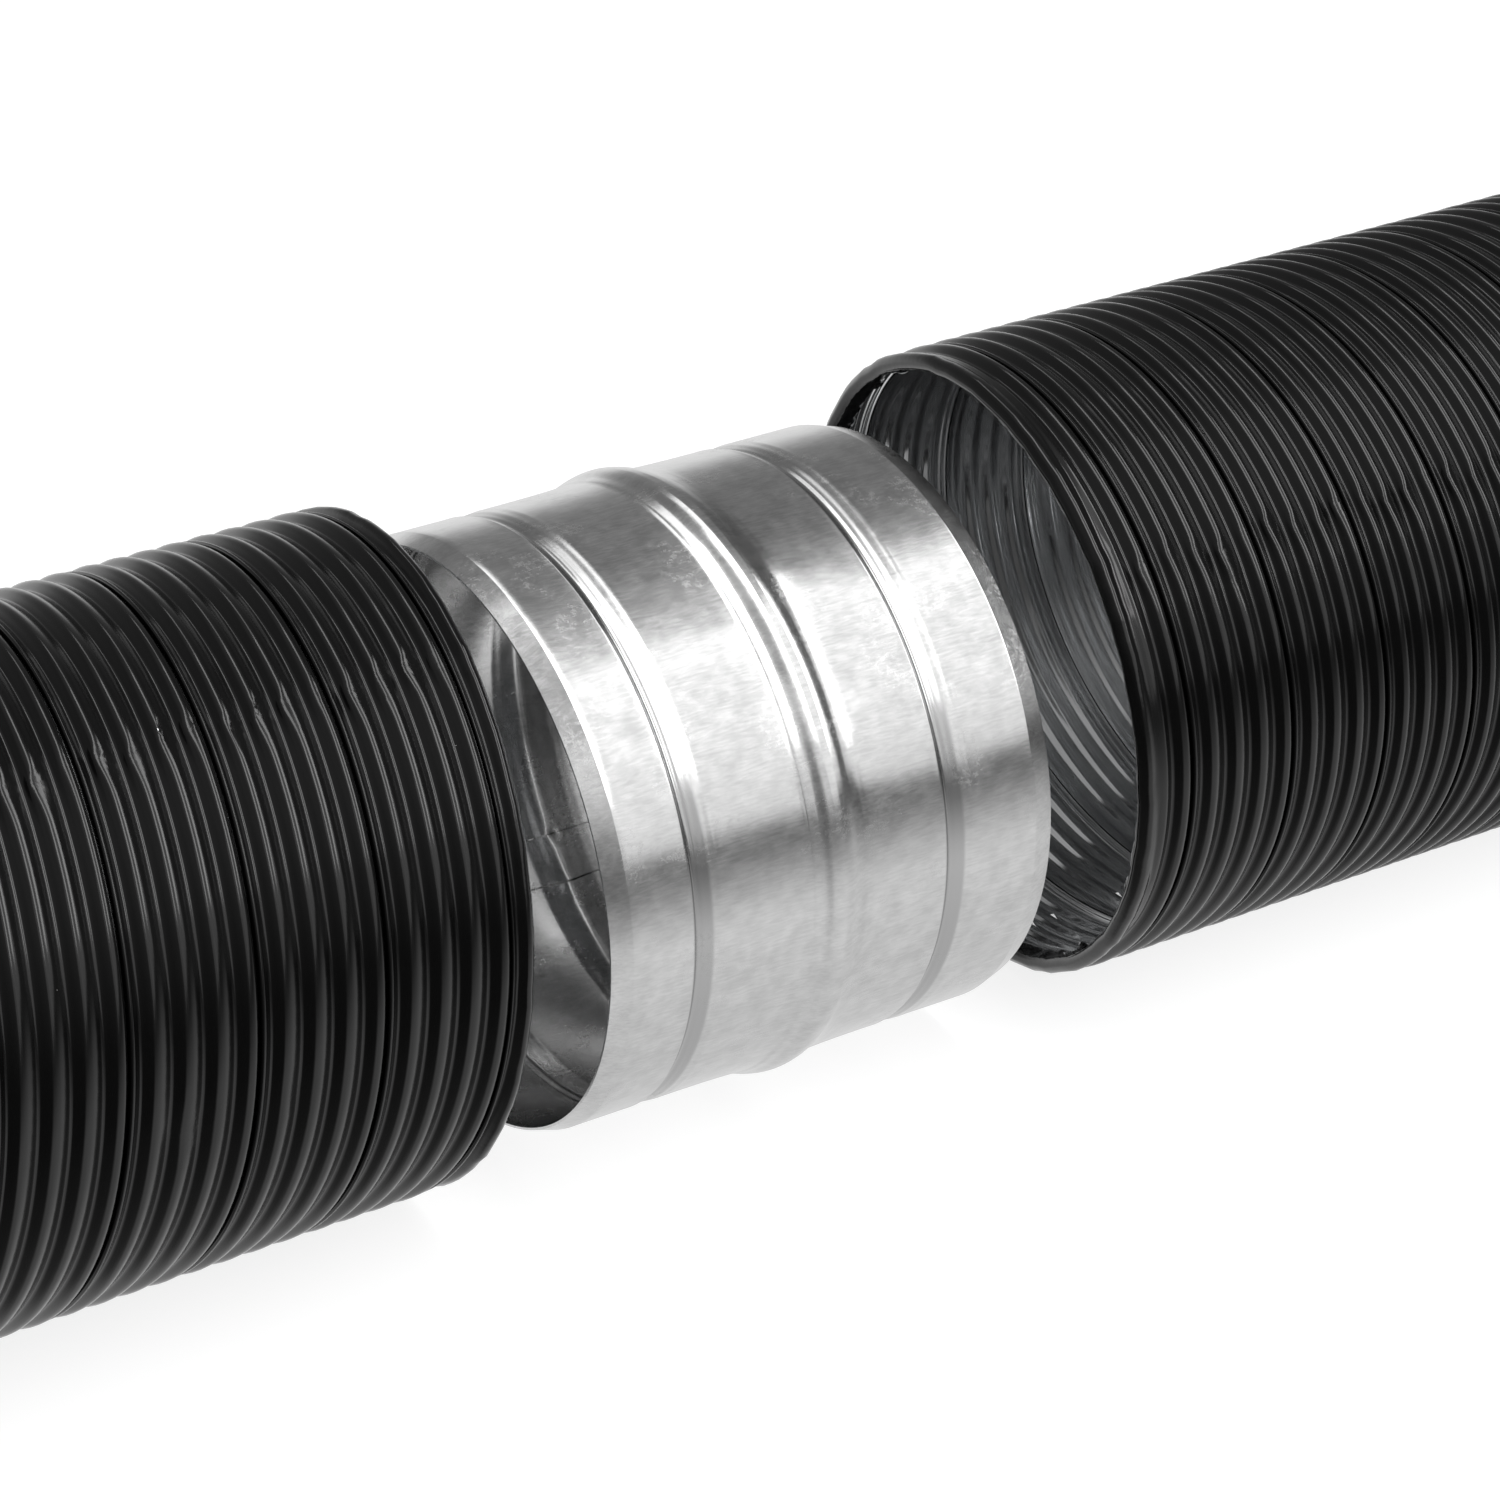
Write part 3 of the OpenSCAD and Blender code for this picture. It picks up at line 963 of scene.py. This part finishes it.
def sheet_profile(sizes, outside):
    """The coupling's wall as (along, radius) from rim to rim, on its outer or inner surface."""
    half = COUPLING_LEN / 2
    foot = sizes.bead_width / 2
    bend = half - sizes.rim_length
    # Rows stand 2 mm apart, and closer together over the bead, the grooves and the rims
    shares = (0, 0.03, 0.5, 1)
    along = [side * (bend + sizes.rim_length * share) for side in (-1, 1) for share in shares]
    along += list(np.linspace(-foot, foot + 2.5 * MM, 42))
    grooves = (GROOVE_SHIFT - sizes.groove_offset, GROOVE_SHIFT + sizes.groove_offset)
    for middle in grooves:
        along += list(middle + sizes.groove_width * np.linspace(-0.5, 0.5, 31))
    along += list(np.arange(-bend, bend, 2 * MM))
    along = np.array(sorted(set(round(a, 6) for a in along)))
    along = along[np.concatenate([[True], np.diff(along) > 0.1 * MM])]
    across = np.abs(along)
    # The bead has a sharp crease at its left foot, a narrow crown and a soft right foot
    bead = sizes.bead_height * smooth_curve(
        (
            (-foot, 0), (-foot + 0.05 * MM, 0.01), (-0.62 * foot, 0.36), (-0.28 * foot, 0.83),
            (0, 1), (0.28 * foot, 0.83), (0.62 * foot, 0.36), (0.9 * foot, 0.09), (1.25 * foot, 0),
        ),
        along,
    )
    risen = bead / sizes.bead_height
    swell = sizes.swell * np.exp(-np.maximum(across - foot, 0) / SWELL_REACH) * ease(1.5 - risen)
    radius = sizes.spigot_radius + np.minimum(bead + swell * (across > foot), sizes.bead_height)
    inner = across <= foot
    radius[inner] = (sizes.spigot_radius + sizes.swell + bead - sizes.swell * risen)[inner]
    for middle in grooves:
        radius += sizes.groove_depth * smooth_curve(GROOVE_WAVE, (along - middle) / sizes.groove_width)
    radius -= sizes.rim_draw * np.clip((across - bend) / sizes.rim_length, 0, 1)
    return along, radius if outside else radius - sizes.sheet


def groove_darkening(sizes, along):
    """How much darker each groove is painted, from 0 to 1, from its steep left wall to past its
    bottom.
    """
    share = np.zeros_like(along)
    for side in (-1, 1):
        across = (along - GROOVE_SHIFT - side * sizes.groove_offset) / sizes.groove_width
        share += ease((across + 0.47) / 0.05) * ease((0.2 - across) / 0.12)
    return share


class AIRDUCT_OT_coupling(bpy.types.Operator):
    """Rolls the galvanised coupling with its stop bead, grooves, rims and lap seam"""

    bl_idname = "airduct.coupling"
    bl_label = "Coupling"

    def execute(self, context):
        sizes = context.scene.airduct_coupling
        half_lap = sizes.lap_width / sizes.spigot_radius / 2
        ends = (sizes.lap_angle - half_lap, sizes.lap_angle + half_lap)
        angles = list(np.arange(-math.pi, math.pi, math.radians(1.7)))
        for end in ends:
            angles = [a for a in angles if abs(a - end) > math.radians(0.9)]
            angles += [end + math.radians(d) for d in (-0.5, -0.12, 0.12, 0.5)]
        angles = np.array(sorted(angles))
        points, counts, rolled = [], [], []
        for outside in (True, False):
            along, radius = sheet_profile(sizes, outside)
            a, x = np.meshgrid(angles, along, indexing="ij")
            r = np.repeat(radius[None, :], len(angles), 0)
            # Rolled sheet is never quite round
            r = r + 0.07 * MM * (ripple(angles, 3, 2, 5)[:, None] + np.sin(x / (31 * MM) + 2 * a))
            past = a - ends[0]
            if outside:
                # The sheet dives under its own outer edge, which leaves a small step
                under = (past < 0) & (past > -LAP_DIVE)
                r = r - np.where(under, LAP_STEP * (1 + past / LAP_DIVE), 0)
            else:
                lapped = (a > ends[0]) & (a < ends[1])
                r = r - np.where(lapped, sizes.sheet, 0)
                # Each spot weld left a dimple 0.4 mm deep and some 4 mm across
                for half in (-1, 1):
                    for spot in (WELD_FROM_BEAD, COUPLING_LEN / 2 - WELD_FROM_RIM):
                        away = np.hypot(x - half * spot, (a - sizes.lap_angle) * sizes.spigot_radius)
                        r = r + 0.42 * MM * bell(away, 1.9 * MM)
            for end, at in zip(ends, (-3 * MM, 1 * MM)):
                # The bead pinches the lap's two edges where it crosses them
                away = np.hypot(x - at, (a - end) * sizes.spigot_radius * 1.2)
                r = r + (0.3 if outside else -0.55) * MM * bell(away, 1.7 * MM)
            r = np.minimum(r, sizes.spigot_radius + sizes.bead_height)
            y, z = -r * np.sin(a), np.maximum(COUPLING_Z + r * np.cos(a), 0)
            points.append(np.stack([x + COUPLING_X, y, z], -1).reshape(-1, 3))
            counts.append(len(along))
            # Only the outer surface is painted darker in the grooves
            rolled.append(np.tile(groove_darkening(sizes, along) * outside, len(angles)))
        # Faces of the outer and inner surfaces, and of the sheet's cut edge at both rims
        faces = []
        n = len(angles)
        base = len(points[0])
        for i in range(n):
            k = (i + 1) % n
            for first, count, flip in ((0, counts[0], True), (base, counts[1], False)):
                for j in range(count - 1):
                    a, b = first + i * count + j, first + k * count + j
                    face = (a, a + 1, b + 1, b)
                    faces.append(face[::-1] if flip else face)
            for end, flip in ((0, False), (-1, True)):
                a = i * counts[0] + end % counts[0]
                b = k * counts[0] + end % counts[0]
                c = base + i * counts[1] + end % counts[1]
                d = base + k * counts[1] + end % counts[1]
                face = (a, b, d, c)
                faces.append(face[::-1] if flip else face)
        material = hot_dip_zinc(context.scene.airduct_finish)
        piece = make_mesh("coupling_sheet", np.concatenate(points), faces, [material])
        piece.data.set_sharp_from_angle(angle=math.radians(24))
        set_attribute(piece.data, "rolled", np.concatenate(rolled))
        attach(piece, "coupling")
        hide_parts("coupling_shell")
        return {"FINISHED"}


# The nodes of one duct, from its mouth to its far end
DUCT_LENGTHS = ("mouth_length", "stretch_zone", "middle_length", "bend_zone", "far_length")


class AIRDUCT_OT_ducts(bpy.types.Operator):
    """Winds the left and right duct and divides each where its middle length is rigid"""

    bl_idname = "airduct.ducts"
    bl_label = "Ducts"

    def execute(self, context):
        sizes = context.scene.airduct_duct
        finish = context.scene.airduct_finish
        materials = [black_lacquer(finish), bare_foil(finish), torn_foil(finish)]
        turn = math.radians
        # phase is where the lock seam's slit crosses the top
        # askew is how far the mouth is cut past the node's end: all round, and more at the top and
        # at the front
        # lean is how far along the ribs stand at the top and what adds to it over the next 100 mm,
        # and the same at the front
        # squeeze is the share by which the ribs were pushed together
        # creases have an angle, a start, a stop and how far they push the ribs aside and in
        # tears have an angle, a width and how much longer the hem is there
        # dents have a place, an angle, a width and a depth
        ducts = (
            {
                "name": "left_duct",
                "phase": -152.95 * MM,
                "askew": (0.9 * MM, 7.1 * MM, -3.6 * MM),
                "lean": (3.5 * MM, 2.4 * MM, 1.65 * MM, -3.2 * MM),
                "squeeze": 0.0,
                "creases": ((turn(32), -0.45, -0.08, -1.2 * MM, 0.15 * MM),),
                "tears": ((turn(40), turn(5), 1 * MM),),
                "dents": ((-0.178, turn(94), 5 * MM, 0.7 * MM), (-0.152, turn(93), 3 * MM, 0.5 * MM)),
                "seed": 11,
            },
            {
                "name": "right_duct",
                "phase": 103.15 * MM,
                "askew": (-1.6 * MM, -3.7 * MM, -4.9 * MM),
                "lean": (-7.16 * MM, 2.35 * MM, 0.5 * MM, 5.37 * MM),
                "squeeze": 0.16,
                "creases": ((turn(50), 0.08, 0.45, -1.2 * MM, 0.15 * MM),),
                "tears": (
                    (turn(-34), turn(5), -4.5 * MM),
                    (turn(-21), turn(3), 1.5 * MM),
                    (turn(33), turn(3), 0.9 * MM),
                    (turn(75), turn(9), -0.8 * MM),
                    (turn(112), turn(5), 1 * MM),
                ),
                "dents": ((0.118, turn(57), 3 * MM, 0.5 * MM),),
                "seed": 23,
            },
        )
        for duct in ducts:
            side = duct["name"].split("_")[0]
            outward = 1 if side == "right" else -1
            box = {name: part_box(f"{side}_{name}") for name in DUCT_LENGTHS}
            ends = [corner.x for name in DUCT_LENGTHS for corner in box[name]]
            duct["start"], duct["stop"] = min(ends), max(ends)
            duct["outward"] = outward
            duct["mouth"] = duct["start"] if outward > 0 else duct["stop"]
            duct["split"] = (box["middle_length"][0].x + box["middle_length"][1].x) / 2
            duct["sizes"] = sizes
            mouth_half, far_half = build_duct(duct, materials)
            for piece, near, far, nodes in (
                (mouth_half, "mouth", "middle", DUCT_LENGTHS[:3]),
                (far_half, "middle", "far", DUCT_LENGTHS[2:]),
            ):
                # The middle one of the three nodes is the zone that flexes
                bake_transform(piece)
                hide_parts(*[f"{side}_{name}" for name in nodes])
        return {"FINISHED"}


class AIRDUCT_PT_panel(bpy.types.Panel):
    """Buttons and sizes of the air duct"""

    bl_idname = "AIRDUCT_PT_panel"
    bl_label = "Air Duct"
    bl_space_type = "VIEW_3D"
    bl_region_type = "UI"
    bl_category = "Air Duct"

    def draw(self, context):
        layout = self.layout
        for operator in OPERATORS:
            layout.operator(operator.bl_idname)
        for name in GROUPS:
            group = getattr(context.scene, name)
            for prop in group.bl_rna.properties:
                if not prop.is_readonly and prop.identifier != "name":
                    layout.prop(group, prop.identifier)


OPERATORS = (AIRDUCT_OT_stage, AIRDUCT_OT_coupling, AIRDUCT_OT_ducts)
GROUPS = {"airduct_duct": DuctSizes, "airduct_coupling": CouplingSizes, "airduct_finish": Finishes}


def register():
    """Adds the classes and their settings to Blender."""
    for kind in (*GROUPS.values(), *OPERATORS, AIRDUCT_PT_panel):
        bpy.utils.register_class(kind)
    for name, kind in GROUPS.items():
        setattr(bpy.types.Scene, name, bpy.props.PointerProperty(type=kind))


def unregister():
    """Takes the classes and their settings away again."""
    for name in GROUPS:
        delattr(bpy.types.Scene, name)
    for kind in reversed((*GROUPS.values(), *OPERATORS, AIRDUCT_PT_panel)):
        bpy.utils.unregister_class(kind)


def main():
    """Builds the scene."""
    register()
    bpy.ops.airduct.stage()
    bpy.ops.airduct.coupling()
    bpy.ops.airduct.ducts()


if __name__ == "__main__":
    main()
